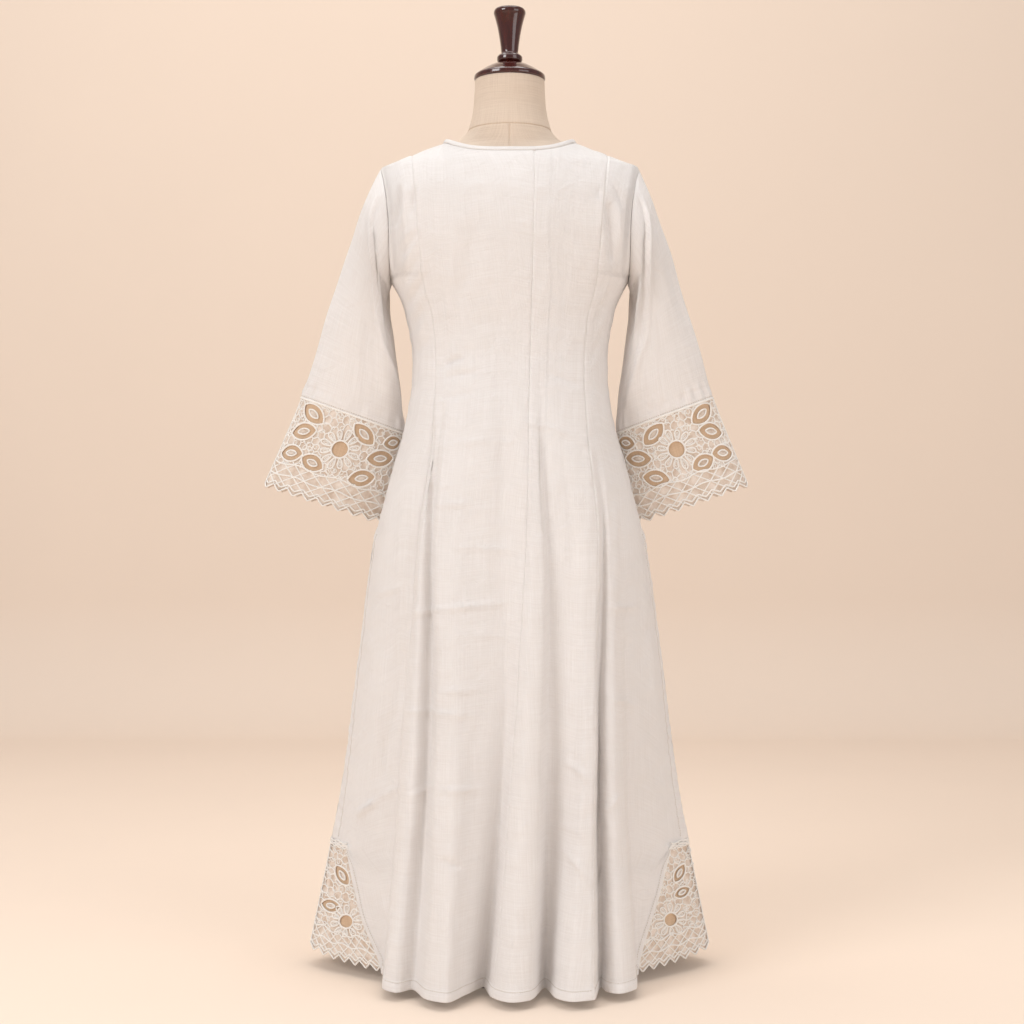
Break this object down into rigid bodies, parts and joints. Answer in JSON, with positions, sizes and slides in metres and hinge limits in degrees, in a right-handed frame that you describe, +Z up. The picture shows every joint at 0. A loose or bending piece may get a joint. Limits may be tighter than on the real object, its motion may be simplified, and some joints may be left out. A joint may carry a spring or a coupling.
{
  "type": "kameez on a dress form",
  "caption": "Long princess-seamed kameez with flared lace-cuffed sleeves and lace corners at its side slits, worn by a limbless dress form with a turned finial.",
  "frame": {"origin": "centre of the stand's underside, on the floor", "axes": "+Z up, -Y towards the garment's back, +Y towards its front, -X to the wearer's left"},
  "size_m": [0.7427, 0.5003, 1.432],
  "materials": {
    "cotton": "off-white plain-woven cotton and linen, matt",
    "lace": "white corded lace, matt",
    "net": "tan lining, matt",
    "linen": "beige plain-woven cover, matt",
    "wood": "dark red gloss lacquer",
    "steel": "dark grey satin paint"
  },
  "bodies": {
    "root": {"back_side_left": "cotton", "back_centre_left": "cotton", "back_centre_right": "cotton", "back_side_right": "cotton", "front_side_left": "cotton", "front_centre": "cotton", "front_side_right": "cotton", "sleeve_left": "cotton", "sleeve_right": "cotton", "neck_binding": "cotton", "cuff_lining_left": "net", "cuff_lining_right": "net", "corner_lining_back_left": "net", "corner_lining_back_right": "net", "corner_lining_front_left": "net", "corner_lining_front_right": "net", "cuff_lace_left_back": "lace", "cuff_lace_left_front": "lace", "cuff_lace_right_back": "lace", "cuff_lace_right_front": "lace", "corner_lace_back_left": "lace", "corner_lace_back_right": "lace", "corner_lace_front_left": "lace", "corner_lace_front_right": "lace", "form_torso": "linen", "neck_cap": "wood", "finial": "wood", "stand_pole": "steel", "stand_base": "steel"}
  },
  "joints": []
}
